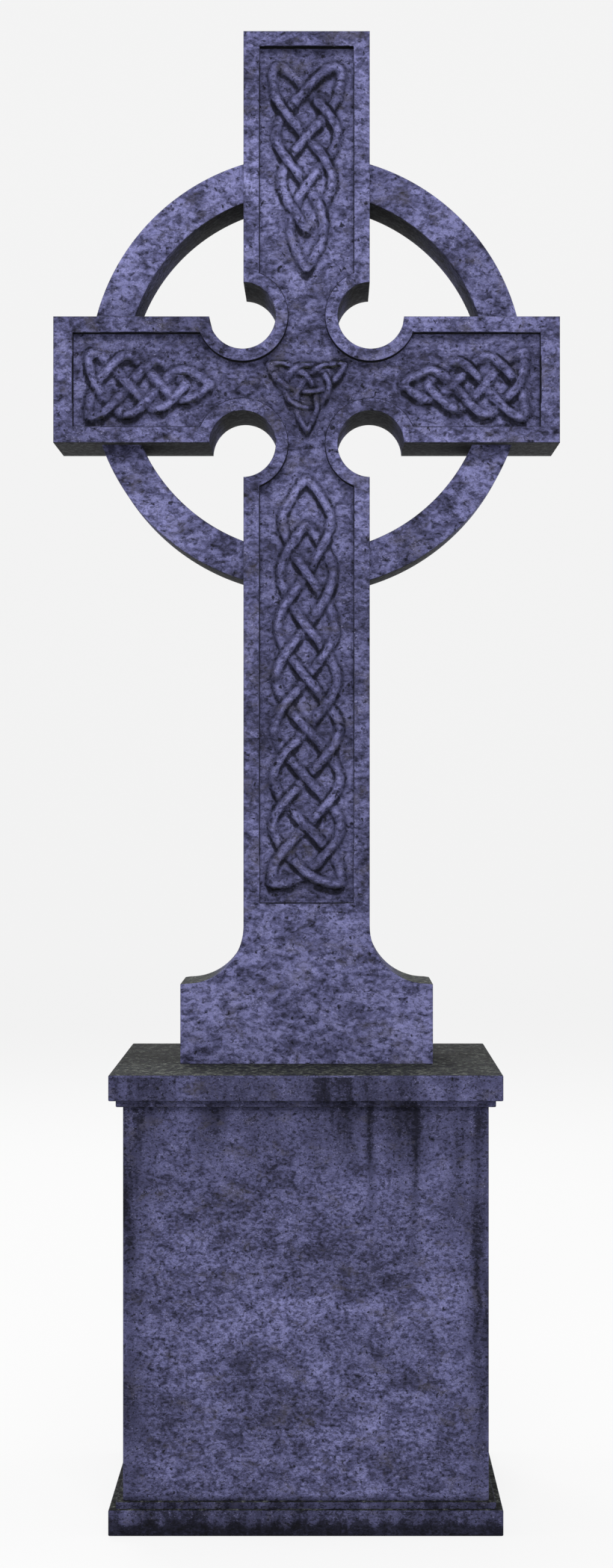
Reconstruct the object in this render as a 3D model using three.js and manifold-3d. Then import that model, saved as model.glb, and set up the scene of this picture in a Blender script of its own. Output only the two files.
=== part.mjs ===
// A churchyard memorial: a wheel-headed cross of one stone standing on a square stone pedestal.
// Millimetres, +Z up. The origin is the middle of the pedestal's underside, at ground level.
// The carved front faces -Y, and +X is to the right of someone who looks at it.
import * as THREE from 'three';
import { mergeVertices } from 'three/addons/utils/BufferGeometryUtils.js';
import Module from 'manifold-3d';

// The shaft's width is the module that sets the other large sizes.
const MODULE = 180;

// Pedestal: a square die between a stepped cap and the same steps turned over at the foot.
const PEDESTAL_HEIGHT = 3.5 * MODULE;
const SLAB_WIDTH = 3 * MODULE;
const STEP_WIDTH = 521;
const DIE_WIDTH = 502;
const SLAB_HEIGHT = 35.5;
const STEP_HEIGHT = 9;
const PEDESTAL_SIDES = 4;

// Cross: heights are taken from its own underside, and it is as thick as its shaft is wide.
const BED_GAP = 0.3;
const CROSS_HEIGHT = 1472;
const THICKNESS = MODULE;
const ARM_SPAN = 722;
const ARM_AXIS = 975.3;
const FOOT_WIDTH = 2 * MODULE;
const FOOT_HEIGHT = 114;
const FLARE_RADIUS = 82;
const NOTCH_RADIUS = 47.4;
const NOTCH_OFFSET = MODULE / 2 + 1.5;

// Ring: two thirds as thick as the cross and set a little above the arms' middle line.
const RING_OUTER_RADIUS = 312;
const RING_INNER_RADIUS = 258.8;
const RING_THICKNESS = (2 / 3) * MODULE;
const RING_RISE = 14.5;

// Sunk field: follows the outline of shaft and arms inside a plain raised border.
const BORDER = 23.2;
const ARM_END_BORDER = 27.7;
const TOP_BORDER = 21.8;
const NOTCH_BORDER = 18.1;
const FIELD_DEPTH = 18;
const FIELD_BOTTOM = 229;

// Carved strands: their height is measured from the floor of the sunk field.
const PLAIT_STRAND = { width: 18, topWidth: 8, height: 8.5, weave: 2.5 };
const STRAND_ROOT = 1.5;
const STRAND_STRAIGHTNESS = 0.8;
const STRANDS = 4;
const STEPS_PER_PITCH = 4;
const STRAND_LAP = 0.12;
const ARCH_POWER = 1.35;
const LOOP_ROUNDING = 0.12;
const TIP_ROUNDING = 0.06;

// Four plaited panels. start is the crossing nearest the two ears and along is the way the plait
// runs from there to its point. Pitch is the distance between crossings on the middle line, growth
// changes it along the plait, ear and tip are the reach of the end loops, and taper is the part of
// the half width that is gone at the last pitch.
const ARM_KNOT = {
  pitches: 3, pitch: 51.9, growth: -0.045, halfWidth: 44.4, taper: 0.57, ear: 8, tip: 31,
};
const KNOTS = [
  {
    start: [0, 270.2], along: [0, 1], across: [1, 0],
    pitches: 7, pitch: 66.7, growth: 0.0125, halfWidth: 49, taper: 0.31, ear: 14, tip: 56,
  },
  {
    start: [0, 1392.2], along: [0, -1], across: [1, 0],
    pitches: 3, pitch: 67.3, growth: 0.01, halfWidth: 47, taper: 0.52, ear: 30, tip: 48,
  },
  { ...ARM_KNOT, start: [-303.5, 969.4], along: [1, 0], across: [0, 1] },
  { ...ARM_KNOT, start: [303.5, 969.4], along: [-1, 0], across: [0, 1] },
];

// Three-cornered knot at the crossing of shaft and arms: three arcs that join at pointed corners
// and an interlaced circle. Its corners point left and up, right and up, and straight down.
const TRINITY_DROP = 7.7;
const TRINITY_CORNER = 62;
const TRINITY_CORE = 8;
const TRINITY_CIRCLE = 31;
const TRINITY_STRAND = { width: 10, topWidth: 4.4, height: 7.5, weave: 1.8 };
const TRINITY_CROSSINGS = 3.24;
const TRINITY_ARC_STEPS = 12;
const TRINITY_CIRCLE_STEPS = 12;

const RING_SEGMENTS = 96;
const NOTCH_SEGMENTS = 48;
const FLARE_SEGMENTS = 12;
const CUT_OVERRUN = 10;
const MERGE_DISTANCE = 1e-4;

const wasm = await Module();
wasm.setup();

// A closed three.js geometry as a solid that can be joined and cut. Triangles that shrink to a
// line at an axis are dropped.
function solid(geometry) {
  geometry.deleteAttribute('normal');
  geometry.deleteAttribute('uv');
  const merged = mergeVertices(geometry, MERGE_DISTANCE);
  const triangles = [];
  for (let i = 0; i < merged.index.count; i += 3) {
    const corners = [0, 1, 2].map((k) => merged.index.getX(i + k));
    if (new Set(corners).size === 3) triangles.push(...corners);
  }
  return new wasm.Manifold(new wasm.Mesh({
    numProp: 3,
    vertProperties: new Float32Array(merged.attributes.position.array),
    triVerts: new Uint32Array(triangles),
  }));
}

// A solid back as a three.js geometry with flat facets.
function geometryOf(body) {
  const mesh = body.getMesh();
  const geometry = new THREE.BufferGeometry();
  geometry.setAttribute('position', new THREE.BufferAttribute(mesh.vertProperties, 3));
  geometry.setIndex(new THREE.BufferAttribute(mesh.triVerts, 1));
  geometry.computeVertexNormals();
  return geometry;
}

// An outline drawn in the X-Z plane, given thickness in Y between two depths.
function plate(outline, nearY, farY, curveSegments) {
  const geometry = new THREE.ExtrudeGeometry(outline, {
    depth: farY - nearY, bevelEnabled: false, curveSegments,
  });
  geometry.rotateX(Math.PI / 2);
  geometry.translate(0, farY, 0);
  return solid(geometry);
}

// A disc in the X-Z plane, given thickness in Y between two depths.
function disc(x, z, radius, nearY, farY, segments) {
  const geometry = new THREE.CylinderGeometry(radius, radius, farY - nearY, segments);
  geometry.translate(x, (nearY + farY) / 2, z);
  return solid(geometry);
}

function rectangle(left, right, bottom, top) {
  const shape = new THREE.Shape();
  shape.moveTo(left, bottom);
  shape.lineTo(right, bottom);
  shape.lineTo(right, top);
  shape.lineTo(left, top);
  shape.closePath();
  return shape;
}

function pedestalGeometry() {
  const levels = [
    [SLAB_WIDTH, 0],
    [SLAB_WIDTH, SLAB_HEIGHT],
    [STEP_WIDTH, SLAB_HEIGHT],
    [STEP_WIDTH, SLAB_HEIGHT + STEP_HEIGHT],
    [DIE_WIDTH, SLAB_HEIGHT + STEP_HEIGHT],
  ];
  const lower = levels.map(([width, height]) => new THREE.Vector2(width / Math.SQRT2, height));
  const upper = levels.map(([width, height]) => (
    new THREE.Vector2(width / Math.SQRT2, PEDESTAL_HEIGHT - height)
  ));
  const profile = [
    new THREE.Vector2(0, 0),
    ...lower,
    ...upper.reverse(),
    new THREE.Vector2(0, PEDESTAL_HEIGHT),
  ];
  const geometry = new THREE.LatheGeometry(profile, PEDESTAL_SIDES, Math.PI / 4);
  geometry.rotateX(Math.PI / 2);
  return geometryOf(solid(geometry));
}

// Foot block, flares and shaft as one upright outline.
function uprightOutline() {
  const shaft = MODULE / 2;
  const foot = FOOT_WIDTH / 2;
  const centre = shaft + FLARE_RADIUS;
  const flareTop = FOOT_HEIGHT + FLARE_RADIUS;
  const shape = new THREE.Shape();
  shape.moveTo(-foot, 0);
  shape.lineTo(foot, 0);
  shape.lineTo(foot, FOOT_HEIGHT);
  shape.lineTo(centre, FOOT_HEIGHT);
  shape.absarc(centre, flareTop, FLARE_RADIUS, -Math.PI / 2, -Math.PI, true);
  shape.lineTo(shaft, CROSS_HEIGHT);
  shape.lineTo(-shaft, CROSS_HEIGHT);
  shape.lineTo(-shaft, flareTop);
  shape.absarc(-centre, flareTop, FLARE_RADIUS, 0, -Math.PI / 2, true);
  shape.lineTo(-foot, FOOT_HEIGHT);
  shape.closePath();
  return shape;
}

// The four round cuts in the corners between shaft and arms, with a chosen radius.
function armpitDiscs(radius, nearY, farY) {
  const discs = [];
  for (const sideX of [-1, 1]) {
    for (const sideZ of [-1, 1]) {
      const x = sideX * NOTCH_OFFSET;
      const z = ARM_AXIS + sideZ * NOTCH_OFFSET;
      discs.push(disc(x, z, radius, nearY, farY, NOTCH_SEGMENTS));
    }
  }
  return wasm.Manifold.union(discs);
}

// What is cut away to sink the field between two depths.
function fieldCut(nearY, farY) {
  const halfShaft = MODULE / 2 - BORDER;
  const armReach = ARM_SPAN / 2 - ARM_END_BORDER;
  const fieldTop = CROSS_HEIGHT - TOP_BORDER;
  const column = plate(rectangle(-halfShaft, halfShaft, FIELD_BOTTOM, fieldTop), nearY, farY);
  const arms = plate(
    rectangle(-armReach, armReach, ARM_AXIS - halfShaft, ARM_AXIS + halfShaft), nearY, farY,
  );
  const kept = armpitDiscs(NOTCH_RADIUS + NOTCH_BORDER, nearY - CUT_OVERRUN, farY + CUT_OVERRUN);
  return column.add(arms).subtract(kept);
}

function ringSolid() {
  const near = -RING_THICKNESS / 2;
  const far = RING_THICKNESS / 2;
  const z = ARM_AXIS + RING_RISE;
  const outer = disc(0, z, RING_OUTER_RADIUS, near, far, RING_SEGMENTS);
  const inner = disc(0, z, RING_INNER_RADIUS, near - CUT_OVERRUN, far + CUT_OVERRUN, RING_SEGMENTS);
  return outer.subtract(inner);
}

// A strand's middle line over the floor of the field. place(t) gives x, z and the height of its
// crown, and the section stays square to the floor all the way along.
class Strand extends THREE.Curve {
  constructor(place, from, to) {
    super();
    this.place = place;
    this.from = from;
    this.to = to;
  }

  getPoint(t, target = new THREE.Vector3()) {
    const { x, z, height } = this.place(this.from + (this.to - this.from) * t);
    return target.set(x, FIELD_DEPTH - THICKNESS / 2 - height, z);
  }

  computeFrenetFrames(steps) {
    const frames = { tangents: [], normals: [], binormals: [] };
    for (let i = 0; i <= steps; i += 1) {
      const tangent = this.getTangentAt(i / steps);
      tangent.y = 0;
      tangent.normalize();
      const normal = new THREE.Vector3(0, -1, 0);
      frames.tangents.push(tangent);
      frames.normals.push(normal);
      frames.binormals.push(new THREE.Vector3().crossVectors(tangent, normal));
    }
    return frames;
  }
}

// Section of a strand: a low ridge with a flat crown at zero and a root below the floor.
function strandSection({ width, topWidth, height, weave }) {
  const root = -height - STRAND_ROOT - weave;
  const shape = new THREE.Shape();
  shape.moveTo(root, -width / 2);
  shape.lineTo(0, -topWidth / 2);
  shape.lineTo(0, topWidth / 2);
  shape.lineTo(root, width / 2);
  shape.closePath();
  return shape;
}

function strandSolid(place, from, to, steps, section) {
  return solid(new THREE.ExtrudeGeometry(section, {
    steps, bevelEnabled: false, extrudePath: new Strand(place, from, to),
  }));
}

// Sideways swing of a plaited strand, from -1 to 1, at a phase counted in pitches: a sine wave
// drawn straighter between its bends.
function swing(phase) {
  const sine = STRAND_STRAIGHTNESS * Math.sin((phase * Math.PI) / 2);
  return Math.asin(sine) / Math.asin(STRAND_STRAIGHTNESS);
}

// Rise of a plaited strand at a phase: 1 where it passes over another, -1 where it goes under.
// It crosses others at phases 0, 0.5 and 1.5 of each two pitches.
function weave(phase) {
  const turn = phase - 2 * Math.floor(phase / 2);
  const crossing = 2 * turn - Math.min(Math.max(turn, 0.5), 1.5) + 0.5;
  return -Math.cos(Math.PI * (crossing + 3 * Math.floor(phase / 2)));
}

// One plaited panel: four strands that run from the ears to the pointed end, each a quarter period
// apart, closed by two ear loops, one inner loop and one pointed outer arch.
function plaitSolids({ start, along, across, pitches, pitch, growth, halfWidth, taper, ear, tip }) {
  const section = strandSection(PLAIT_STRAND);
  const solids = [];
  const add = (path, from, to, steps) => solids.push(strandSolid(path, from, to, steps, section));
  const distance = (p) => pitch * p * (1 + growth * p);
  const widthAt = (p) => halfWidth * (1 - taper * (Math.max(p, 0) / pitches) ** 2);
  const place = (side, run, rise) => ({
    x: start[0] + across[0] * side + along[0] * run,
    z: start[1] + across[1] * side + along[1] * run,
    height: PLAIT_STRAND.height + PLAIT_STRAND.weave * rise,
  });

  for (let lead = 0; lead < STRANDS; lead += 1) {
    const endsOutside = (pitches + lead) % 2 === 1;
    const end = endsOutside ? pitches : pitches - 0.5;
    const strand = (p) => place(widthAt(p) * swing(p + lead), distance(p), weave(p + lead));
    add(strand, -STRAND_LAP, end + STRAND_LAP, Math.round(end * STEPS_PER_PITCH));
  }

  // Ear: a cubic curve from the first middle crossing out round the corner to the outer bend.
  const earCurve = new THREE.CubicBezierCurve(
    new THREE.Vector2(0, 0),
    new THREE.Vector2(0.55 * halfWidth, -1.1 * ear),
    new THREE.Vector2(1.25 * halfWidth, -1.75 * ear),
    new THREE.Vector2(halfWidth, 0),
  );
  for (const side of [-1, 1]) {
    const path = (t) => {
      const point = earCurve.getPoint(t);
      return place(side * point.x, point.y, side * (1 - t));
    };
    add(path, 0, 1, 2 * STEPS_PER_PITCH);
  }

  // Inner loop: the two strands that would cross at the last pitch turn into each other.
  const loop = (t) => {
    const p = pitches - 0.5 * Math.abs(t);
    const reach = Math.hypot(0.5 * t, LOOP_ROUNDING);
    return place(Math.sign(t) * widthAt(p) * Math.abs(swing(0.5 * t)), distance(pitches - reach), -t);
  };
  add(loop, -1 - STRAND_LAP, 1 + STRAND_LAP, 2 * STEPS_PER_PITCH);

  // Outer arch: the two outer strands leave their last bend and meet in a point.
  const arch = (t) => {
    const climb = 1 + TIP_ROUNDING - Math.hypot(t, TIP_ROUNDING);
    const side = Math.sign(t) * widthAt(pitches) * (1 - (1 - Math.abs(t)) ** ARCH_POWER);
    return place(side, distance(pitches) + tip * climb, 0);
  };
  add(arch, -1, 1, 2 * STEPS_PER_PITCH);
  return solids;
}

// The three-cornered knot. Each arc is part of a circle through two corners that passes the middle
// on its far side, and the circle round the middle runs over one flank of each leaf and under the
// other.
function trinitySolids() {
  const { height, weave: rise } = TRINITY_STRAND;
  const section = strandSection(TRINITY_STRAND);
  const middle = ARM_AXIS - TRINITY_DROP;
  const reach = (TRINITY_CORNER ** 2 - TRINITY_CORE ** 2) / (TRINITY_CORNER + 2 * TRINITY_CORE);
  const radius = reach + TRINITY_CORE;
  const halfArc = Math.asin((TRINITY_CORNER * Math.sin(Math.PI / 3)) / radius);
  const crossingStep = halfArc / TRINITY_CROSSINGS;
  const solids = [];
  for (let leaf = 0; leaf < 3; leaf += 1) {
    const towards = Math.PI / 2 + (leaf * 2 * Math.PI) / 3;
    const arc = (t) => {
      const angle = towards + Math.PI + t * halfArc;
      const fade = Math.min(1, (1 - Math.abs(t)) * 2);
      return {
        x: reach * Math.cos(towards) + radius * Math.cos(angle),
        z: middle + reach * Math.sin(towards) + radius * Math.sin(angle),
        height: height + rise * fade * Math.sin((Math.PI * t * halfArc) / crossingStep),
      };
    };
    solids.push(strandSolid(arc, -1, 1, TRINITY_ARC_STEPS, section));
  }
  const circle = (t) => ({
    x: TRINITY_CIRCLE * Math.cos(t),
    z: middle + TRINITY_CIRCLE * Math.sin(t),
    height: height + rise * Math.cos(3 * t),
  });
  const halfTurn = Math.PI + STRAND_LAP;
  solids.push(strandSolid(circle, 0, halfTurn, TRINITY_CIRCLE_STEPS, section));
  solids.push(strandSolid(circle, Math.PI, Math.PI + halfTurn, TRINITY_CIRCLE_STEPS, section));
  return solids;
}

// The largest of a solid's separate bodies, without the crumbs that the tightest bends leave.
function largest(body) {
  return body.decompose().reduce((most, other) => (other.volume() > most.volume() ? other : most));
}

function crossGeometry() {
  const near = -THICKNESS / 2;
  const far = THICKNESS / 2;
  const upright = plate(uprightOutline(), near, far, FLARE_SEGMENTS);
  const arms = plate(
    rectangle(-ARM_SPAN / 2, ARM_SPAN / 2, ARM_AXIS - MODULE / 2, ARM_AXIS + MODULE / 2), near, far,
  );
  const body = upright.add(arms)
    .subtract(armpitDiscs(NOTCH_RADIUS, near - CUT_OVERRUN, far + CUT_OVERRUN))
    .add(ringSolid())
    .subtract(fieldCut(near - CUT_OVERRUN, near + FIELD_DEPTH))
    .subtract(fieldCut(far - FIELD_DEPTH, far + CUT_OVERRUN));
  const carving = wasm.Manifold.union([...KNOTS.flatMap(plaitSolids), ...trinitySolids()]);
  return geometryOf(largest(body.add(carving)));
}

const stone = (color) => new THREE.MeshStandardMaterial({ color, roughness: 0.9, metalness: 0 });

const pedestal = new THREE.Mesh(pedestalGeometry(), stone(0x4a4b6e));
pedestal.name = 'pedestal';

const cross = new THREE.Mesh(crossGeometry(), stone(0x54557c));
cross.name = 'cross';
cross.position.z = PEDESTAL_HEIGHT + BED_GAP;

const gravestone = new THREE.Group();
gravestone.add(pedestal, cross);

export default gravestone;
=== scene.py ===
import math

import bmesh
import bpy
import numpy as np
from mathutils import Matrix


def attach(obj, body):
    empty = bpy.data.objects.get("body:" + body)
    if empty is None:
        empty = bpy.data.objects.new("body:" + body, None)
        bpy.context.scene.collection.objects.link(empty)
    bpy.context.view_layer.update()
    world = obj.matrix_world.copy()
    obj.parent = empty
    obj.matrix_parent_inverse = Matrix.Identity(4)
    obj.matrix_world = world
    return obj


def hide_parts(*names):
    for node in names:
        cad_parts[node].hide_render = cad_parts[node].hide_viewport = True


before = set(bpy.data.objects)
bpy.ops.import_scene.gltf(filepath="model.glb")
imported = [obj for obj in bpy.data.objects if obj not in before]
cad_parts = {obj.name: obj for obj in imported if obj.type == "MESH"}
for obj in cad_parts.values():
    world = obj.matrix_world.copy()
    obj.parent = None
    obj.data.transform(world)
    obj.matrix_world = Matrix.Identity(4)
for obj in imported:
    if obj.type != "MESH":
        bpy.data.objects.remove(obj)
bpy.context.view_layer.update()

# Studio: a wide pale bowl, flat in the middle and curved up to a wall all round, that glows a
# little of its own so that every side of the stone has the same plain ground behind it.
bowl_tone = (0.10, 0.10, 0.10, 1)
bowl_glow = 0.83
bowl_flat_radius = 14.0
bowl_bend_radius = 6.0
bowl_wall_height = 14.0
bowl_floor_rings = (0.01, 3, 8)
bowl_join = 0.0001


def grid_faces(rows, columns):
    """Four-cornered faces of a grid of points that is stored row after row."""
    corner = (np.arange(rows - 1)[:, None] * columns + np.arange(columns - 1)).reshape(-1)
    return np.stack([corner, corner + 1, corner + columns + 1, corner + columns], axis=1)


def closed_piece(name, sheets, gap, closed=True):
    """A mesh object at the origin from grids of points in metres. Points closer than the gap are
    joined, openings are filled with flat faces if it is closed, and faces are turned outward."""
    points, faces, count = [], [], 0
    for sheet in sheets:
        points.append(sheet.reshape(-1, 3))
        faces.append(grid_faces(*sheet.shape[:2]) + count)
        count += sheet.shape[0] * sheet.shape[1]
    mesh = bpy.data.meshes.new(name)
    mesh.from_pydata(np.concatenate(points), [], np.concatenate(faces))
    work = bmesh.new()
    work.from_mesh(mesh)
    bmesh.ops.remove_doubles(work, verts=work.verts, dist=gap)
    if closed:
        bmesh.ops.holes_fill(work, edges=[edge for edge in work.edges if edge.is_boundary], sides=0)
    bmesh.ops.recalc_face_normals(work, faces=work.faces)
    work.to_mesh(mesh)
    work.free()
    mesh.validate()
    piece = bpy.data.objects.new(name, mesh)
    bpy.context.scene.collection.objects.link(piece)
    return piece


def add_node(tree, kind, settings=None, **sockets):
    """A shader node with its settings, and each of its inputs linked or set to a value. An input
    is given by its name, or by the letter i and its number where the names repeat."""
    node = tree.nodes.new(kind)
    for key, value in (settings or {}).items():
        setattr(node, key, value)
    for name, value in sockets.items():
        numbered = name[0] == "i" and name[1:].isdigit()
        socket = node.inputs[int(name[1:]) if numbered else name]
        if isinstance(value, bpy.types.NodeSocket):
            tree.links.new(value, socket)
        else:
            socket.default_value = value
    return node


def plain_material(name):
    """A new material with one shader: the material and its shader."""
    material = bpy.data.materials.new(name)
    material.use_nodes = True
    return material, material.node_tree.nodes["Principled BSDF"]


def bowl_surface(around_count=64, bend_count=24):
    """Floor line, quarter circle and wall line turned once round the upright axis."""
    bend = np.linspace(0, math.pi / 2, bend_count)
    wall_radius = bowl_flat_radius + bowl_bend_radius
    bend_reach = bowl_flat_radius + bowl_bend_radius * np.sin(bend)
    reach = np.concatenate((bowl_floor_rings, bend_reach, [wall_radius]))
    floor = np.zeros(len(bowl_floor_rings))
    height = np.concatenate((floor, bowl_bend_radius * (1 - np.cos(bend)), [bowl_wall_height]))
    turn = np.linspace(0, 2 * math.pi, around_count)[None, :]
    x, y = reach[:, None] * np.cos(turn), reach[:, None] * np.sin(turn)
    return np.stack([x, y, np.broadcast_to(height[:, None], x.shape)], axis=-1)


studio_bowl = closed_piece("studio_bowl", [bowl_surface()], bowl_join, closed=False)
bowl_paint, bowl_shader = plain_material("bowl_paint")
bowl_shader.inputs["Base Color"].default_value = bowl_tone
bowl_shader.inputs["Roughness"].default_value = 1.0
bowl_shader.inputs["Specular IOR Level"].default_value = 0.0
bowl_shader.inputs["Emission Color"].default_value = (1, 1, 1, 1)
bowl_shader.inputs["Emission Strength"].default_value = bowl_glow
studio_bowl.data.materials.append(bowl_paint)
studio_bowl.data.shade_smooth()

# Cross: one stone from foot to top, sawn square, with the ring left standing between shaft and
# arms. Front and back are sunk to a level field, and the front one carries the knotwork. It stands
# dry on the pedestal. Sizes are millimetres, and heights are counted up from the cross's own foot.
cross_bed = 630.3
cross_join = 0.00005
sharp_angle = math.radians(38)
cross_height = 1472
half_thick = 90
half_shaft = 90
half_span = 361
arm_axis = 975.3
half_foot = 180
foot_height = 114
flare_radius = 82
notch_offset = 91.5
notch_radius = 47.4
border = 23.2
arm_end_border = 27.7
top_border = 21.8
notch_border = 18.1
field_depth = 18
field_low = 229
half_field = half_shaft - border
mesh_step = 2.9
arc_step = math.radians(2.6)
floor_columns = 68
seam_rows = 50
side_rows = 7
foot_rows = 24
arris_shares = np.array([0, 0.02, 0.07, 0.12])
arris_drops = np.array([1.7, 0.5, 0, 0])


def level(start, end, spacing):
    """Evenly spaced values from start to end, about one spacing apart."""
    return np.linspace(start, end, int(round(abs(end - start) / spacing)) + 1)


def stretch(values, low, high):
    """The same values moved and scaled so that they run from low to high."""
    return low + (values - values[0]) * (high - low) / (values[-1] - values[0])


def line(start, end, steps):
    """Points between two corners, spaced like the given run of values."""
    share = stretch(steps, 0, 1)[:, None]
    return np.array(start) * (1 - share) + np.array(end) * share


def bow(centre, radius, turn):
    """Points of a circle at the given turning angles."""
    return np.stack([centre[0] + radius * np.cos(turn), centre[1] + radius * np.sin(turn)], axis=1)


def chain(*parts):
    """One run of points from several, each of which starts where the one before it ends."""
    return np.concatenate([parts[0]] + [part[1:] for part in parts[1:]])


# The field's edge and the stone's edge are two chains of matched points. Both start at the
# middle of the top, go down the right side and turn in at the foot of the field.
field_radius = notch_radius + notch_border
field_reach = math.sqrt(field_radius ** 2 - (notch_offset - half_field) ** 2)
stone_reach = math.sqrt(notch_radius ** 2 - (notch_offset - half_shaft) ** 2)
field_turn = math.atan2(field_reach, half_field - notch_offset)
stone_turn = math.atan2(stone_reach, half_shaft - notch_offset)
seam_turn = 1.5 * math.pi
inward_turns = np.append(level(field_turn, seam_turn - 2 * arc_step, arc_step), seam_turn)
outward_turns = level(seam_turn, 2.5 * math.pi - field_turn, arc_step)
turns = np.append(inward_turns, outward_turns[1:])
stone_turns = stretch(turns, stone_turn, 2.5 * math.pi - stone_turn)
notch = (notch_offset, notch_offset)
low_notch = (notch_offset, -notch_offset)
field_bend = notch_offset + field_reach
stone_bend = notch_offset + stone_reach
arm_reach = half_span - arm_end_border
field_top = cross_height - top_border - arm_axis
stone_top = cross_height - arm_axis
field_foot = field_low - arm_axis
across = np.linspace(0, 1, floor_columns // 2 + 1)
seam = np.linspace(1, -1, seam_rows + 1)
upper_side = level(field_top, field_bend, mesh_step)
lower_side = level(-field_bend, field_foot, mesh_step)
arm_side = level(field_bend, arm_reach, mesh_step)
axis_lift = np.array([0, arm_axis])
field_edge = axis_lift + chain(
    line((0, field_top), (half_field, field_top), across),
    line((half_field, field_top), (half_field, field_bend), upper_side),
    bow(notch, field_radius, turns),
    line((field_bend, half_field), (arm_reach, half_field), arm_side),
    line((arm_reach, half_field), (arm_reach, -half_field), seam),
    line((arm_reach, -half_field), (field_bend, -half_field), arm_side[::-1]),
    bow(low_notch, field_radius, -turns[::-1]),
    line((half_field, -field_bend), (half_field, field_foot), lower_side),
)
stone_edge = axis_lift + chain(
    line((0, stone_top), (half_shaft, stone_top), across),
    line((half_shaft, stone_top), (half_shaft, stone_bend), upper_side),
    bow(notch, notch_radius, stone_turns),
    line((stone_bend, half_shaft), (half_span, half_shaft), arm_side),
    line((half_span, half_shaft), (half_span, -half_shaft), seam),
    line((half_span, -half_shaft), (stone_bend, -half_shaft), arm_side[::-1]),
    bow(low_notch, notch_radius, -stone_turns[::-1]),
    line((half_shaft, -stone_bend), (half_shaft, field_foot - border), lower_side),
)
field_sill = line((half_field, field_low), (0, field_low), across)
stone_sill = line((half_shaft, field_low - border), (0, field_low - border), across)
flare_turns = math.pi + level(0, math.pi / 2, math.radians(4.5))
foot_edge = chain(
    line((half_shaft, field_low - border), (half_shaft, foot_height + flare_radius), np.arange(4)),
    bow((half_shaft + flare_radius, foot_height + flare_radius), flare_radius, flare_turns),
    line((half_shaft + flare_radius, foot_height), (half_foot, foot_height - 1), np.arange(2)),
    line((half_foot, foot_height - 1), (half_foot, 0), np.arange(foot_rows)),
)


def both_sides(half):
    """A right half chain from its end up to its start, then down its mirror image on the left."""
    return np.concatenate([half[::-1], half[1:] * np.array([-1, 1])])


def profile_sheet(inner, outer, shares, depths):
    """Profile along a path: each profile point lies its share of the way from the inner chain to
    the outer one, at its own depth from front to back."""
    shares = np.asarray(shares, dtype=float)
    flat = inner[:, None, :] + (outer - inner)[:, None, :] * shares[None, :, None]
    depth = np.broadcast_to(depths, flat.shape[:2])
    return np.stack([flat[..., 0], depth, flat[..., 1]], axis=-1)


def border_sheets(face, wall_rows, border_rows):
    """Field wall, inner arris, border and outer arris of one face of the cross. The outer arris
    leaves out the line under the field, where the plain foot takes over."""
    inner = both_sides(chain(field_edge, field_sill))
    outer = both_sides(chain(stone_edge, stone_sill))
    way = math.copysign(1, face)
    wall = np.linspace(face - way * field_depth, face - way * arris_drops[0], wall_rows)[:-1]
    flat_shares = np.linspace(arris_shares[-1], 1 - arris_shares[-1], border_rows)[1:]
    shares = np.concatenate([np.zeros(len(wall)), arris_shares, flat_shares])
    depths = np.concatenate([wall, face - way * arris_drops, np.full(border_rows - 1, face)])
    yield profile_sheet(inner, outer, shares, depths)
    inner, outer = both_sides(field_edge), both_sides(stone_edge)
    yield profile_sheet(inner, outer, 1 - arris_shares[::-1], face - way * arris_drops[::-1])


def foot_sheet(face):
    """The plain face under the field: rows as wide as the foot's outline at their height, with an
    arris at both ends. The first row is mitred to fit the border above."""
    inset = border * arris_shares
    inner = np.linspace(-1, 1, floor_columns + 1)
    half = foot_edge[:, :1]
    width = np.concatenate([inset[:3] - half, (half - inset[3]) * inner, half - inset[2::-1]], axis=1)
    drop = np.concatenate([arris_drops[:3], np.zeros(len(inner)), arris_drops[2::-1]])
    height = np.repeat(foot_edge[:, 1:], len(drop), axis=1)
    height[0] += np.concatenate([inset[:3], np.full(len(inner), inset[3]), inset[2::-1]])
    depth = np.broadcast_to(face - math.copysign(1, face) * drop, height.shape)
    return np.stack([width, depth, height], axis=-1)


# Knotwork: four-strand plaits in the shaft, the head and both arms, and a three-cornered knot in
# the crossing. Every strand is a line of points with a rise, 1 where it passes over another and
# -1 where it passes under.
strand_half_width = 8.2
strand_height = 8.8
strand_weave = 1.3
trinity_half_width = 5.5
trinity_height = 7.5
trinity_weave = 1.2
strand_spacing = 1.3
strand_stretch = 1.3
ear_near = (0.55, -1.1)
ear_far = (1.25, -1.75)
straightness = 0.8
arch_power = 1.35
loop_rounding = 0.12
tip_rounding = 0.06
trinity_drop = 7.7
trinity_corner = 62
trinity_core = 8
trinity_circle = 31
trinity_crossings = 3.24
section_power = 1.2
layer_lap = 0.03
crossing_dip = 0.6
relief_margin = 6
edge_reach = 5
hand_wobble = 1.2
wobble_cell = 12
worn_share = 0.3
worn_cell = 14
worn_depths = ((9, 0.45), (5, 0.35))
wear_lattice = 400
points_at_once = 2000
shaft_knot_low = 270.2
head_knot_high = 1392.2
arm_knot_start = 303.5
arm_knot_axis = 969.4


def swing(phase):
    """Sideways swing of a strand: a sine wave with its flanks drawn straight, from -1 to 1."""
    return np.arcsin(straightness * np.sin(phase * math.pi / 2)) / math.asin(straightness)


def weave(phase):
    """Over and under: one cosine wave for every two crossings, held level past the outer bends."""
    turn = phase - 2 * np.floor(phase / 2)
    crossing = 2 * turn - np.clip(turn, 0.5, 1.5) + 0.5
    return -np.cos(math.pi * (crossing + 3 * np.floor(phase / 2)))


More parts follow.
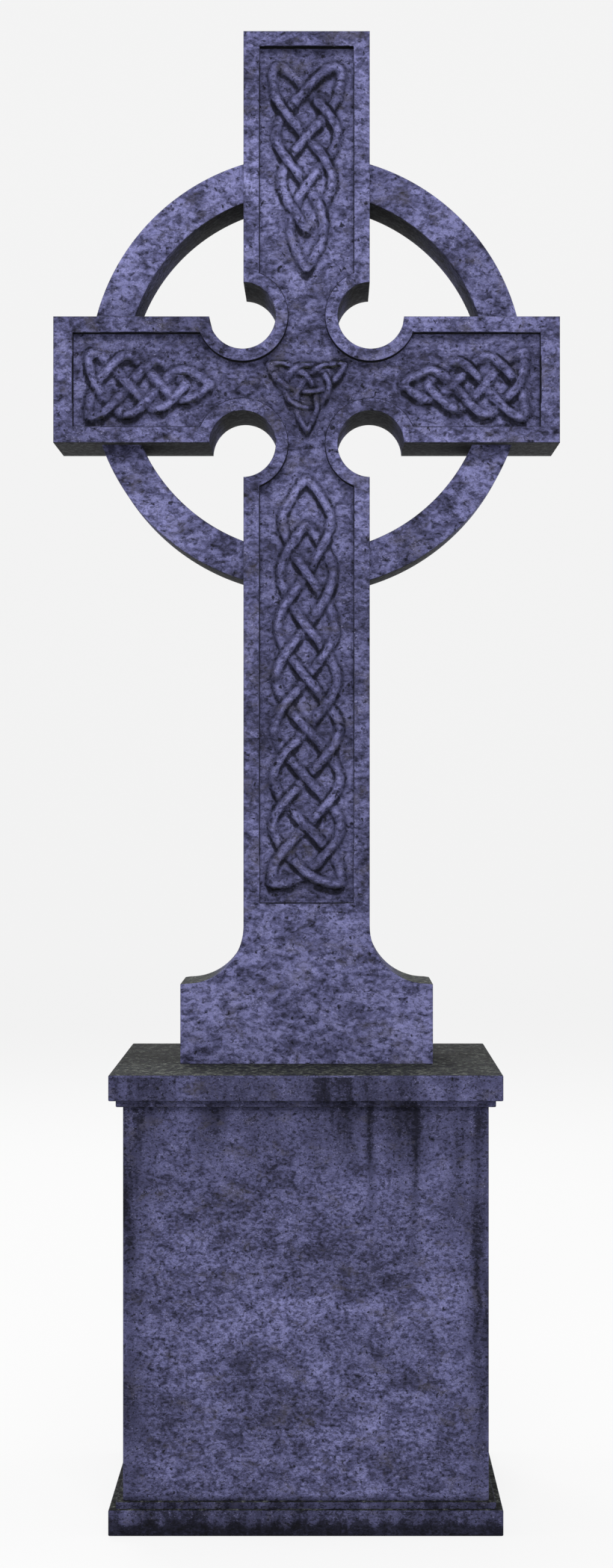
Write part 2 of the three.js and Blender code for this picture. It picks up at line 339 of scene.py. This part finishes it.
def plait(start, along, side_way, pitches, pitch, growth, half_width, taper, ear, tip):
    """All strands of one plaited panel. Four strands swing from side to side a pitch apart. Two
    ears (cubic curves) join them at the start, and a loop inside a pointed arch at the end."""
    start, along, side_way = (np.array(v, dtype=float) for v in (start, along, side_way))
    lines = []

    def distance(p):
        """How far along the panel a number of pitches reaches."""
        return pitch * p * (1 + growth * p)

    def width_at(p):
        """Half width of the swing, which narrows towards the pointed end."""
        return half_width * (1 - taper * (np.maximum(p, 0) / pitches) ** 2)

    def place(side, run, rise):
        """Keeps one strand: its points sideways and along, its rise and its number."""
        flat = start + side[:, None] * side_way + run[:, None] * along
        lines.append(np.column_stack([flat, rise, np.full(len(rise), len(lines))]))

    for lead in range(4):
        end = pitches if (pitches + lead) % 2 else pitches - 0.5
        p = np.linspace(0, end, int(end * pitch * strand_stretch / strand_spacing))
        place(width_at(p) * swing(p + lead), distance(p), weave(p + lead))
    t = np.linspace(0, 1, 60)
    near, far = 3 * (1 - t) ** 2 * t, 3 * (1 - t) * t ** 2
    sideways = half_width * (near * ear_near[0] + far * ear_far[0] + t ** 3)
    back = ear * (near * ear_near[1] + far * ear_far[1])
    place(sideways, back, 1 - t)
    place(-sideways, back, t - 1)
    t = np.linspace(-1, 1, 80)
    p = pitches - 0.5 * np.abs(t)
    loop_side = np.sign(t) * width_at(p) * np.abs(swing(0.5 * t))
    place(loop_side, distance(pitches - np.hypot(0.5 * t, loop_rounding)), -t)
    reach = np.sign(t) * width_at(pitches) * (1 - (1 - np.abs(t)) ** arch_power)
    place(reach, distance(pitches) + tip * (1 + tip_rounding - np.hypot(t, tip_rounding)), 0 * t)
    return np.concatenate(lines)


def trinity():
    """Three arcs of one circle size that meet in pointed corners, woven with a small circle."""
    middle = arm_axis - trinity_drop
    reach = (trinity_corner ** 2 - trinity_core ** 2) / (trinity_corner + 2 * trinity_core)
    radius = reach + trinity_core
    half_arc = math.asin(trinity_corner * math.sin(math.pi / 3) / radius)
    t = np.linspace(-1, 1, 150)
    lines = []
    for leaf in range(3):
        towards = math.pi / 2 + leaf * 2 * math.pi / 3
        angle = towards + math.pi + t * half_arc
        rise = np.minimum(1, 2 * (1 - np.abs(t))) * np.sin(math.pi * t * trinity_crossings)
        x = reach * math.cos(towards) + radius * np.cos(angle)
        z = middle + reach * math.sin(towards) + radius * np.sin(angle)
        lines.append(np.column_stack([x, z, rise, np.full(len(t), leaf)]))
    turn = np.linspace(0, 2 * math.pi, 200)
    circle = bow((0, middle), trinity_circle, turn)
    lines.append(np.column_stack([circle, np.cos(3 * turn), np.full(len(turn), 3)]))
    return np.concatenate(lines)


upward, downward, rightward, leftward = (0, 1), (0, -1), (1, 0), (-1, 0)
shaft_plait = dict(pitches=7, pitch=66.7, growth=0.0125, half_width=49, taper=0.31, ear=14, tip=56)
head_plait = dict(pitches=3, pitch=67.3, growth=0.01, half_width=47, taper=0.52, ear=30, tip=48)
arm_plait = dict(pitches=3, pitch=51.9, growth=-0.045, half_width=44.4, taper=0.57, ear=8, tip=31)
plaits = (
    plait((0, shaft_knot_low), upward, rightward, **shaft_plait),
    plait((0, head_knot_high), downward, rightward, **head_plait),
    plait((-arm_knot_start, arm_knot_axis), rightward, upward, **arm_plait),
    plait((arm_knot_start, arm_knot_axis), leftward, upward, **arm_plait),
)
knots = [(lines, strand_half_width, strand_height, strand_weave) for lines in plaits]
knots.append((trinity(), trinity_half_width, trinity_height, trinity_weave))


def smooth_step(low, high, value):
    """Share of the way from low to high, held between 0 and 1 and eased at both ends."""
    share = np.clip((value - low) / (high - low), 0, 1)
    return share * share * (3 - 2 * share)


def nearest(points, samples):
    """Distance from each point to the closest sample, and that sample's number."""
    gap = np.empty(len(points))
    number = np.empty(len(points), dtype=int)
    for part in np.array_split(np.arange(len(points)), len(points) // points_at_once + 1):
        squares = ((points[part, None, :] - samples[None, :, :2]) ** 2).sum(axis=2)
        number[part] = squares.argmin(axis=1)
        gap[part] = np.sqrt(squares[np.arange(len(part)), number[part]])
    return gap, number


def wear(flat, cell, seed):
    """Seeded random values from -1 to 1 on a square lattice, blended smoothly in between."""
    size = (wear_lattice + 1, wear_lattice + 1)
    values = np.random.default_rng(seed).uniform(-1, 1, size)
    place = flat / cell + wear_lattice // 2
    corner = np.floor(place).astype(int)
    x, z = (smooth_step(0, 1, place - corner)).T
    column, row = corner.T % wear_lattice
    low = values[column, row] * (1 - x) + values[column + 1, row] * x
    high = values[column, row + 1] * (1 - x) + values[column + 1, row + 1] * x
    return low * (1 - z) + high * z


def knot_relief(flat):
    """Height of the strands over the field floor and the painted shade along their edges. A strand's
    section is a
    round ridge: 1 less the square of gap over half width, to a power, times the crest's height.
    Its line wavers a little. Where two cross, the lower one dips beside the upper one."""
    wobble = np.column_stack([wear(flat, wobble_cell, 1), wear(flat, wobble_cell, 2)])
    flat = flat + hand_wobble * wobble
    height = np.zeros(len(flat))
    edge = np.zeros(len(flat))
    for samples, half_width, crest, rise in knots:
        reach = half_width + relief_margin
        low, high = samples[:, :2].min(axis=0) - reach, samples[:, :2].max(axis=0) + reach
        inside = np.flatnonzero(((flat > low) & (flat < high)).all(axis=1))
        if not len(inside):
            continue
        layers = []
        for layer in (samples[samples[:, 2] >= -layer_lap], samples[samples[:, 2] <= layer_lap]):
            gap, number = nearest(flat[inside], layer)
            lift = layer[number, 2]
            section = (1 - np.clip(gap / half_width, 0, 1) ** 2) ** section_power
            layers.append((gap, lift, layer[number, 3], section * (crest + rise * lift)))
        (over_gap, over_lift, over_line, over), (under_gap, under_lift, under_line, under) = layers
        apart = smooth_step(0.5, 1.3, over_lift - under_lift) * (over_line != under_line)
        beside = 1 - smooth_step(half_width - 2.5, half_width + 2, over_gap)
        under = under * (1 - crossing_dip * apart * beside)
        height[inside] = np.maximum(height[inside], np.maximum(over, under))
        # Painted shade beside each strand: darker along its edges, where shade would gather in the
        # creases.
        over_edge = 1 - smooth_step(0, edge_reach, np.abs(over_gap - half_width))
        under_edge = 1 - smooth_step(0, edge_reach, np.abs(under_gap - half_width))
        over_edge = over_edge * (0.7 + 0.3 * apart)
        under_edge = under_edge * 0.7 * (1 - smooth_step(half_width + 1, half_width - 2, over_gap))
        edge[inside] = np.maximum(edge[inside], np.maximum(over_edge, under_edge))
    return height, edge


seam_half = notch_offset - field_radius
column_run = axis_lift + chain(
    line((half_field, field_top), (half_field, field_bend), upper_side),
    bow(notch, field_radius, inward_turns),
    line((notch_offset, seam_half), (notch_offset, -seam_half), seam),
    bow(low_notch, field_radius, -inward_turns[::-1]),
    line((half_field, -field_bend), (half_field, field_foot), lower_side),
)
arm_run = chain(
    bow(notch, field_radius, outward_turns),
    line((field_bend, half_field), (arm_reach, half_field), arm_side),
)


def floor_sheet(x, z):
    """The sunk floor with its knotwork: depth is the field's depth less the height of the strands.
    Wear takes a share of each strand and hollows the floor, but not along the field's edge."""
    x, z = np.broadcast_arrays(x, z)
    flat = np.stack([x.ravel(), z.ravel()], axis=1)
    height = knot_relief(flat)[0] * (1 - worn_share * (1 + wear(flat, worn_cell, 3)) / 2)
    inward = smooth_step(0.5, 8, nearest(flat, both_sides(chain(field_edge, field_sill)))[0])
    for number, (cell, depth) in enumerate(worn_depths):
        height += depth * inward * wear(flat, cell, 4 + number)
    return np.stack([x, field_depth - half_thick - height.reshape(x.shape), z], axis=-1)


whole_width = np.linspace(-1, 1, floor_columns + 1)
sheets = [
    floor_sheet(column_run[:, :1] * whole_width, column_run[:, 1:]),
    floor_sheet(arm_run[:, :1], arm_axis + arm_run[:, 1:] * seam),
    floor_sheet(-arm_run[:, :1], arm_axis + arm_run[:, 1:] * seam),
    *border_sheets(-half_thick, wall_rows=4, border_rows=4),
    *border_sheets(half_thick, wall_rows=2, border_rows=2),
    foot_sheet(-half_thick),
    foot_sheet(half_thick),
]
side_chain = both_sides(chain(stone_edge, foot_edge))
side_depths = np.linspace(arris_drops[0] - half_thick, half_thick - arris_drops[0], side_rows)
sheets.append(profile_sheet(side_chain, side_chain, np.ones(side_rows), side_depths))


def placed(sheet):
    """A sheet of the cross from millimetres over its foot to metres over the ground."""
    return sheet / 1000 + np.array([0, 0, cross_bed / 1000])


cross_stone = closed_piece("cross_stone", [placed(sheet) for sheet in sheets], cross_join)

# Ring: four arcs in one stone with the cross. Their ends are buried in shaft and arms, and the
# arcs are joined to the cross as one closed skin.
ring_outer = 312
ring_inner = 258.8
ring_half_thick = 60
ring_rise = 14.5
ring_arris = 2.2
ring_corner_points = 4
ring_arcs = ((13.1, 74.2), (105.8, 166.9), (198.6, 254.2), (285.8, 341.4))


def ring_arc(start, end):
    """A rectangle with round arrises carried along an arc in the plane of the cross's face."""
    mid, half = (ring_outer + ring_inner) / 2, (ring_outer - ring_inner) / 2
    corner = np.linspace(0, math.pi / 2, ring_corner_points)
    quarter = np.concatenate([corner, corner + math.pi / 2, corner + math.pi, corner + 1.5 * math.pi])
    core = np.repeat([[1, 1], [-1, 1], [-1, -1], [1, -1]], ring_corner_points, axis=0)
    radial = core[:, 0] * (half - ring_arris) + ring_arris * np.cos(quarter)
    depth = core[:, 1] * (ring_half_thick - ring_arris) + ring_arris * np.sin(quarter)
    radial, depth = np.append(radial, radial[0]), np.append(depth, depth[0])
    turn = np.radians(level(start, end, 0.9))[:, None]
    x = (mid + radial) * np.cos(turn)
    z = arm_axis + ring_rise + (mid + radial) * np.sin(turn)
    return np.stack([x, np.broadcast_to(depth, x.shape), z], axis=-1)


ring_stone = closed_piece("ring_stone", [placed(ring_arc(*arc)) for arc in ring_arcs], cross_join)
union = cross_stone.modifiers.new("union", "BOOLEAN")
union.operation = "UNION"
union.solver = "MANIFOLD"
union.object = ring_stone
with_ring = cross_stone.evaluated_get(bpy.context.evaluated_depsgraph_get())
joined = bpy.data.meshes.new_from_object(with_ring)
cross_stone.modifiers.remove(union)
cross_stone.data = joined
bpy.data.objects.remove(ring_stone)
joined.shade_smooth()
joined.set_sharp_from_angle(angle=sharp_angle)

# Weathered stone, shared by cross and pedestal: a fine-grained blue-violet stone that has gone
# patchy in the open, with pale flecks, black pits, and darkening that is real soil on the pedestal and
# painted shade on the cross. Faces that look up carry a thin grey-green growth, and faces that look down
# or sideways are painted near-black with streaks as painted shade.
stone_dark = (0.030, 0.030, 0.062, 1)
stone_middle = (0.074, 0.075, 0.160, 1)
stone_light = (0.175, 0.177, 0.355, 1)
stone_fleck = (0.270, 0.270, 0.450, 1)
stone_brown = (0.064, 0.058, 0.062, 1)
pit_black = (0.007, 0.007, 0.011, 1)
soil_black = (0.010, 0.010, 0.016, 1)
growth_green = (0.029, 0.033, 0.030, 1)
growth_pale = (0.20, 0.21, 0.19, 1)
# Near-black streaked colours for faces that look down or sideways: painted shade.
shade_black = (0.012, 0.012, 0.013, 1)
shade_grey = (0.046, 0.048, 0.051, 1)
grain_height = 0.0022
stone_gloss = 0.12


def mask(tree, value, low, high):
    """Smooth step of a value from 0 at the low end to 1 at the high end."""
    settings = {"interpolation_type": "SMOOTHSTEP"}
    node = add_node(tree, "ShaderNodeMapRange", settings, Value=value, i1=low, i2=high, i3=0.0, i4=1.0)
    return node.outputs["Result"]


def times(tree, a, b):
    """Product of two values."""
    return add_node(tree, "ShaderNodeMath", {"operation": "MULTIPLY"}, i0=a, i1=b).outputs[0]


def plus(tree, a, b):
    """Sum of two values."""
    return add_node(tree, "ShaderNodeMath", {"operation": "ADD"}, i0=a, i1=b).outputs[0]


def larger(tree, a, b):
    """The larger of two values."""
    return add_node(tree, "ShaderNodeMath", {"operation": "MAXIMUM"}, i0=a, i1=b).outputs[0]


def scaled(tree, vector, factor):
    """A colour or place times a value."""
    node = add_node(tree, "ShaderNodeVectorMath", {"operation": "SCALE"}, i0=vector, Scale=factor)
    return node.outputs[0]


def drawn_out(tree, place, scale):
    """A place with each axis times its own number, which draws a pattern out along some axes."""
    return add_node(tree, "ShaderNodeMapping", None, Vector=place, Scale=scale).outputs[0]


def blend(tree, share, a, b):
    """Colour between a and b: a at a share of 0, b at a share of 1."""
    node = add_node(tree, "ShaderNodeMix", {"data_type": "RGBA"}, i0=share, i6=a, i7=b)
    return node.outputs[2]


def noise(tree, place, scale, detail, roughness, distortion=0.0):
    """Cloudy value about 0.5, with as many blots to a metre as its scale says."""
    sockets = {"Scale": scale, "Detail": detail, "Roughness": roughness, "Distortion": distortion}
    return add_node(tree, "ShaderNodeTexNoise", None, Vector=place, **sockets).outputs["Fac"]


def weathered_stone_group():
    """Node group: colour, roughness and surface height of the stone at an object coordinate.
    Soil (0 to 1) brings black, as real dirt on the pedestal and as painted shade on the cross, Highlight
    (0 to 1) lightens the strands' tops as a painted highlight, Fineness makes the grain smaller,
    Paleness shifts the whole stone and Patchiness sets how much it varies. Faces that look down or
    sideways are painted near-black as painted shade."""
    tree = bpy.data.node_groups.new("weathered_stone", "ShaderNodeTree")
    for name in ("Soil", "Crown", "Fineness", "Paleness", "Patchiness"):
        tree.interface.new_socket(name, in_out="INPUT", socket_type="NodeSocketFloat")
    tree.interface.new_socket("Color", in_out="OUTPUT", socket_type="NodeSocketColor")
    for name in ("Roughness", "Height"):
        tree.interface.new_socket(name, in_out="OUTPUT", socket_type="NodeSocketFloat")
    given = add_node(tree, "NodeGroupInput")
    place = add_node(tree, "ShaderNodeTexCoord").outputs["Object"]
    sized = scaled(tree, place, given.outputs["Fineness"])
    bedded = drawn_out(tree, sized, (1.0, 1.0, 1.4))

    broad = noise(tree, bedded, 6.0, 3.0, 0.5)
    patch = noise(tree, bedded, 26.0, 5.0, 0.65, 0.6)
    grain = noise(tree, bedded, 95.0, 5.0, 0.7, 0.4)
    crumb = noise(tree, bedded, 330.0, 2.0, 0.6)
    combed = drawn_out(tree, sized, (0.85, 1.0, 1.3))
    fine = noise(tree, combed, 125.0, 4.0, 0.62, 0.6)
    cloud = plus(tree, plus(tree, times(tree, broad, 0.24), times(tree, patch, 0.42)), -0.33)
    cloud = times(tree, cloud, given.outputs["Patchiness"])
    tone = plus(tree, cloud, plus(tree, times(tree, grain, 0.40), 0.30))
    tone = plus(tree, tone, given.outputs["Paleness"])
    # The strands' tops are lightened by Highlight: a painted highlight.
    tone = plus(tree, tone, times(tree, given.outputs["Crown"], 0.02))
    ramp = add_node(tree, "ShaderNodeValToRGB", None, i0=tone)
    stops = ramp.color_ramp.elements
    stops[0].position, stops[0].color = 0.41, stone_dark
    stops[1].position, stops[1].color = 0.60, stone_light
    middle = stops.new(0.50)
    middle.color = stone_middle
    shade = plus(tree, times(tree, fine, 4.0), times(tree, given.outputs["Crown"], 0.12))
    shade = plus(tree, shade, -1.05)
    colour = scaled(tree, ramp.outputs["Color"], larger(tree, shade, 0.12))

    brown = noise(tree, bedded, 17.0, 6.0, 0.7, 0.5)
    colour = blend(tree, times(tree, mask(tree, brown, 0.53, 0.66), 0.35), colour, stone_brown)
    flecks = times(tree, mask(tree, crumb, 0.60, 0.70), mask(tree, patch, 0.42, 0.60))
    colour = blend(tree, times(tree, flecks, 0.6), colour, stone_fleck)
    hollow = noise(tree, sized, 120.0, 2.0, 0.5, 0.4)
    pits = times(tree, mask(tree, hollow, 0.35, 0.27), 0.9)
    specks = times(tree, mask(tree, crumb, 0.40, 0.33), 0.6)
    colour = blend(tree, times(tree, specks, 0.8), colour, pit_black)

    facing = add_node(tree, "ShaderNodeNewGeometry").outputs["Normal"]
    split = add_node(tree, "ShaderNodeSeparateXYZ", None, Vector=facing)
    aside = add_node(tree, "ShaderNodeMath", {"operation": "ABSOLUTE"}, i0=split.outputs[0])
    top = mask(tree, split.outputs[2], 0.72, 0.95)
    underside = mask(tree, split.outputs[2], -0.48, -0.86)
    flank = times(tree, mask(tree, aside.outputs[0], 0.70, 0.95), 0.4)
    film = noise(tree, drawn_out(tree, place, (0.9, 0.5, 0.9)), 140.0, 5.0, 0.8)
    streaks = mask(tree, film, 0.44, 0.62)
    growth = blend(tree, mask(tree, film, 0.42, 0.52), soil_black, growth_green)
    growth = blend(tree, times(tree, mask(tree, film, 0.53, 0.62), 0.6), growth, growth_pale)
    # Faces that look down or sideways are painted near-black with streaks: painted shade.
    facing_shade = blend(tree, streaks, shade_black, shade_grey)
    colour = blend(tree, top, colour, growth)
    colour = blend(tree, larger(tree, underside, flank), colour, facing_shade)

    # Soil darkens the colour to black: real dirt on the pedestal, painted shade on the cross.
    speckle = plus(tree, times(tree, fine, 1.6), times(tree, patch, 1.3))
    speckle = plus(tree, times(tree, grain, 2.1), speckle)
    falling = drawn_out(tree, place, (1.0, 1.0, 0.14))
    runs = plus(tree, times(tree, noise(tree, falling, 42.0, 3.0, 0.6), 2.4), -0.2)
    ragged = plus(tree, times(tree, given.outputs["Soil"], runs), plus(tree, speckle, -2.5))
    dirt_and_shade_colour = scaled(tree, colour, 0.10)
    colour = blend(tree, mask(tree, ragged, 0.20, 0.82), colour, dirt_and_shade_colour)
    colour = blend(tree, pits, colour, pit_black)

    height = plus(tree, times(tree, fine, 0.8), times(tree, patch, 0.7))
    height = plus(tree, times(tree, grain, 0.7), height)
    height = plus(tree, plus(tree, height, times(tree, crumb, 0.22)), times(tree, pits, -0.35))
    rough = plus(tree, 0.78, times(tree, grain, 0.22))
    add_node(tree, "NodeGroupOutput", None, Color=colour, Roughness=rough, Height=height)
    return tree


weathered_stone = weathered_stone_group()


def stone_material(name, bump_strength, fineness, paleness, patchiness):
    """Stone finish: the shared weathering, with the mesh's own soil attribute (real soil on the
    pedestal, painted shade on the cross) and crown attribute.
    """
    material, shader = plain_material(name)
    tree = material.node_tree
    soil = add_node(tree, "ShaderNodeAttribute", {"attribute_name": "soil"}).outputs["Fac"]
    crown = add_node(tree, "ShaderNodeAttribute", {"attribute_name": "crown"}).outputs["Fac"]
    sockets = dict(Soil=soil, Crown=crown, Fineness=fineness, Paleness=paleness)
    sockets["Patchiness"] = patchiness
    stone = add_node(tree, "ShaderNodeGroup", {"node_tree": weathered_stone}, **sockets)
    raised = {"Strength": bump_strength, "Distance": grain_height, "Height": stone.outputs["Height"]}
    bump = add_node(tree, "ShaderNodeBump", None, **raised)
    tree.links.new(stone.outputs["Color"], shader.inputs["Base Color"])
    tree.links.new(stone.outputs["Roughness"], shader.inputs["Roughness"])
    tree.links.new(bump.outputs["Normal"], shader.inputs["Normal"])
    shader.inputs["Specular IOR Level"].default_value = stone_gloss
    return material


def give_mask(mesh, name, values):
    """Stores one value per point of a mesh under a name that its material reads."""
    layer = mesh.attributes.new(name, "FLOAT", "POINT")
    layer.data.foreach_set("value", np.asarray(values, dtype=np.float32))


def points_of(mesh):
    """All points of a mesh as one array, a row for each."""
    points = np.empty(len(mesh.vertices) * 3, dtype=np.float32)
    mesh.vertices.foreach_get("co", points)
    return points.reshape(-1, 3).astype(float)


# Painted shade on the cross, stored as soil: strengths from 0 to 1. The painted shadow below the strands
# is found at four steps up from each point.
shadow_ways = ((0.4, 3.5), (0.8, 7), (1, 11), (0.5, 15))
painted_shadow_strength = 0.9
strand_edge_shade = 0.72
arm_cell_shade = 0.26
more_upright_shade = 0.14


def cross_painted_light_masks(points):
    """Painted shade lies on the field's walls, beside the strands, in a painted shadow below them and on
    the floor between them. The painted highlight is on the strands' tops. Points are millimetres over
    the cross's foot."""
    soil = np.zeros(len(points))
    crown = np.zeros(len(points))
    depth = points[:, 1] + half_thick
    field = np.flatnonzero((depth < field_depth + 2) & (depth > 0.3))
    flat = points[field][:, [0, 2]]
    height, edge = knot_relief(flat)
    wall_gap = nearest(flat, both_sides(chain(field_edge, field_sill)))[0]
    # The field's walls are painted dark: painted shade in the recess.
    wall = (wall_gap < 0.6) * (points[field][:, 1] < field_depth - half_thick - arris_drops[0])
    # Painted shadow below the strands: the floor darkens where strands stand higher a few steps above
    # it.
    shadowing_height = sum(np.maximum(knot_relief(flat + np.array(way))[0] - height, 0) for way in shadow_ways)
    painted_shadow = smooth_step(2, 26, shadowing_height) * painted_shadow_strength
    knot_gap = np.minimum.reduce([nearest(flat, knot[0][::4])[0] for knot in knots])
    # The strands' tops get a painted highlight by their height.
    highlight_share = height / (strand_height + strand_weave)
    within = np.abs(points[field][:, 0]) < arm_reach + 1
    # The floor between the strands is darkened: painted shade.
    cell = arm_cell_shade + more_upright_shade * (np.abs(flat[:, 0]) < half_field)
    cell = cell * (1 - highlight_share) * smooth_step(18, 4, knot_gap)
    soil[field] = np.maximum.reduce([edge * strand_edge_shade, painted_shadow, wall, cell]) * within
    crown[field] = highlight_share
    return soil, crown


cross_points = points_of(joined) * 1000 - np.array([0, 0, cross_bed])
cross_painted_shade, cross_highlight = cross_painted_light_masks(cross_points)
give_mask(joined, "soil", cross_painted_shade)
give_mask(joined, "crown", cross_highlight)
joined.materials.clear()
cross_finish = dict(bump_strength=0.5, fineness=1.0, paleness=0.001, patchiness=1.0)
joined.materials.append(stone_material("cross_stone_finish", **cross_finish))
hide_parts("cross")
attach(cross_stone, "root")

# Pedestal: one square block of the same stone with a stepped cap moulding, and the same moulding
# turned over at its foot. Sawn and rubbed faces, arrises worn round. Sizes are millimetres.
slab_half = 270
step_half = 260.5
die_half = 251
slab_rise = 35.5
step_rise = 9
pedestal_rise = 630
worn_radius = 1.6
skin_step = 7.5
side_columns = 72
pedestal_join = 0.00002


def worn_corner(half, height, first_turn, radius=worn_radius):
    """Quarter circle in a worn arris, as half width and height, that starts at the given turn."""
    turn = np.radians(np.array([first_turn, first_turn + 30, first_turn + 60, first_turn + 90]))
    side = half - radius + radius * np.cos(turn)
    up = height + radius * (np.sin(turn) - np.sign(np.sin(np.radians(first_turn + 45))))
    return list(zip(side, up))


def pedestal_profile():
    """Half width and height from the middle of the underside, up the outside, to the middle of
    the top."""
    lower = [(12, 0)] + [(w, 0) for w in level(12, slab_half - worn_radius - 2, 24)[1:]]
    slab_rows = level(worn_radius + 2, slab_rise - worn_radius - 2, skin_step)
    lower += worn_corner(slab_half, 0, -90) + [(slab_half, z) for z in slab_rows]
    lower += worn_corner(slab_half, slab_rise, 0)
    lower += [(step_half, slab_rise)] + worn_corner(step_half, slab_rise + step_rise, 0)
    die_low = slab_rise + step_rise
    middle = [(die_half, z) for z in level(die_low, pedestal_rise - die_low, skin_step)]
    upper = [(w, pedestal_rise - z) for w, z in lower[::-1]]
    return np.array(lower + middle + upper, dtype=float)


def square_path(count, corner_steps=4):
    """One turn round a square: for every stop its place on a square of half width 1 and the
    outward direction, which swings a quarter turn at each corner."""
    place, way = [], []
    for side in range(4):
        turn = side * math.pi / 2
        spin = np.array([[math.cos(turn), math.sin(turn)], [-math.sin(turn), math.cos(turn)]])
        run = np.linspace(-1, 1, count)
        place.append(np.stack([run, np.full(count, -1.0)], axis=1) @ spin)
        way.append(np.tile([[0.0, -1.0]], (count, 1)) @ spin)
        swing_turn = np.linspace(0, math.pi / 2, corner_steps + 1)[1:-1]
        place.append(np.tile([[1.0, -1.0]], (corner_steps - 1, 1)) @ spin)
        way.append(np.stack([np.sin(swing_turn), -np.cos(swing_turn)], axis=1) @ spin)
    place, way = np.concatenate(place), np.concatenate(way)
    return np.append(place, place[:1], axis=0), np.append(way, way[:1], axis=0)


profile = pedestal_profile()
place, way = square_path(side_columns)
half_widths = profile[:, 0][:, None, None]
plan = (half_widths - worn_radius) * place + worn_radius * way
heights = np.broadcast_to(profile[:, 1:], plan.shape[:2])
pedestal_sheet = np.concatenate([plan, heights[..., None]], axis=-1) / 1000
pedestal_stone = closed_piece("pedestal_stone", [pedestal_sheet], pedestal_join)
pedestal_mesh = pedestal_stone.data
pedestal_mesh.shade_smooth()
pedestal_mesh.set_sharp_from_angle(angle=sharp_angle)


# Each run on the front has its middle, half width, lower end and strength. Soil strengths run from
# 0 to 1, and earth has more so that it stays black.
stain_runs = (
    (134, 36, 500, 0.75),
    (146, 10, 400, 0.8),
    (92, 10, 450, 0.75),
    (-131, 46, 525, 0.65),
    (-240, 40, 440, 0.75),
    (-246, 20, 330, 0.8),
    (238, 22, 90, 0.65),
    (214, 26, 420, 0.5),
    (10, 70, 560, 0.45),
)
run_fade = (110, 120)
cap_share_of_runs = 0.55
base_soil = 0.50
earth_soil = 1.5
earth_height = 33
under_cap_low = 430
under_cap_high = 600
bed_darkening = 0.22
back_of_bed_darkening = 0.4


def pedestal_stains(points):
    """Dark runs under the cap, darker corners and a ragged band of earth at the bottom. Points
    are millimetres over the ground."""
    x, y, z = points.T
    soil = np.zeros(len(points))
    front = (y < 15 - die_half) * np.where(z > pedestal_rise - slab_rise, cap_share_of_runs, 1)
    for middle, half_width, low_end, strength in stain_runs:
        drift = middle + 5 * np.sin(z / 83 + middle)
        width = half_width * (0.8 + 0.2 * np.sin(z / 61 + half_width))
        run = np.exp(-((x - drift) / width) ** 2)
        run = run * smooth_step(low_end - run_fade[0], low_end + run_fade[1], z) * strength
        soil = np.maximum(soil, run * front)
    under_cap = smooth_step(under_cap_low, under_cap_high, z)
    under_cap = under_cap * (0.34 + 0.26 * np.sin(x / 31) * np.sin(x / 83 + 1))
    corner = smooth_step(slab_half - 70, slab_half - 12, np.minimum(np.abs(x), np.abs(y)))
    corner = corner * (0.34 + 0.14 * np.sin(z / 47 + x / 90))
    base = (z < slab_rise + step_rise + 1) * base_soil
    ragged = z + 5 * np.sin(x / 5.5) * np.sin(x / 29 + 2)
    earth = earth_soil * (1 - smooth_step(1, earth_height, ragged))
    soil = np.maximum(soil, under_cap * (z < pedestal_rise - 2))
    soil = np.maximum(soil, corner * (z < pedestal_rise - 2))
    # The top of the cap is darker, more so towards the back.
    bed = (z > pedestal_rise - 1) * (bed_darkening + back_of_bed_darkening * smooth_step(-230, 60, y))
    return np.maximum.reduce([soil, base, earth, bed])


give_mask(pedestal_mesh, "soil", pedestal_stains(points_of(pedestal_mesh) * 1000))
pedestal_finish = dict(bump_strength=0.9, fineness=1.6, paleness=-0.012, patchiness=0.95)
pedestal_mesh.materials.append(stone_material("pedestal_stone_finish", **pedestal_finish))
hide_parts("pedestal")
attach(pedestal_stone, "root")

# Camera and lights: the camera stands level, a little right of the middle, and its lens is
# shifted so that uprights stay upright.
image_height = 2099
focal_pixels = 4130
sensor = 36.0
shift_right_pixels = -25.5
shift_up_pixels = 12.1
camera_place = (0.027, -4.487, 1.016)
sky_strength = 0.25
camera_data = bpy.data.cameras.new("camera")
camera_data.sensor_width = sensor
camera_data.lens = sensor * focal_pixels / image_height
camera_data.shift_x = shift_right_pixels / image_height
camera_data.shift_y = shift_up_pixels / image_height
camera_data.clip_end = 60
camera = bpy.data.objects.new("camera", camera_data)
camera.location = camera_place
camera.rotation_euler = (math.pi / 2, 0, 0)
bpy.context.scene.collection.objects.link(camera)
bpy.context.scene.camera = camera


def soft_light(name, place, target, size, power, colour=(1, 1, 1)):
    """A square area light that faces its target."""
    data = bpy.data.lights.new(name, "AREA")
    data.shape = "SQUARE"
    data.size = size
    data.energy = power
    data.color = colour
    lamp = bpy.data.objects.new(name, data)
    lamp.location = place
    away = lamp.location - type(lamp.location)(target)
    lamp.rotation_euler = away.to_track_quat("Z", "Y").to_euler()
    bpy.context.scene.collection.objects.link(lamp)


warm_white = (1.0, 0.99, 0.98)
light_target = (0, 0, 1.0)
soft_light("key_light", (0.15, -4.9, 4.5), (0, 0, 1.1), size=2.6, power=258, colour=warm_white)
soft_light("back_light", (-1.0, 4.4, 5.0), light_target, size=3.0, power=220)
for side in (-1, 1):
    soft_light("side_light", (side * 4.8, 0.4, 3.2), light_target, size=3.0, power=90)
world = bpy.data.worlds.new("studio")
world.use_nodes = True
sky = world.node_tree.nodes["Background"]
sky.inputs["Color"].default_value = (1, 1, 1, 1)
sky.inputs["Strength"].default_value = sky_strength
bpy.context.scene.world = world
bpy.context.scene.view_settings.view_transform = "Standard"
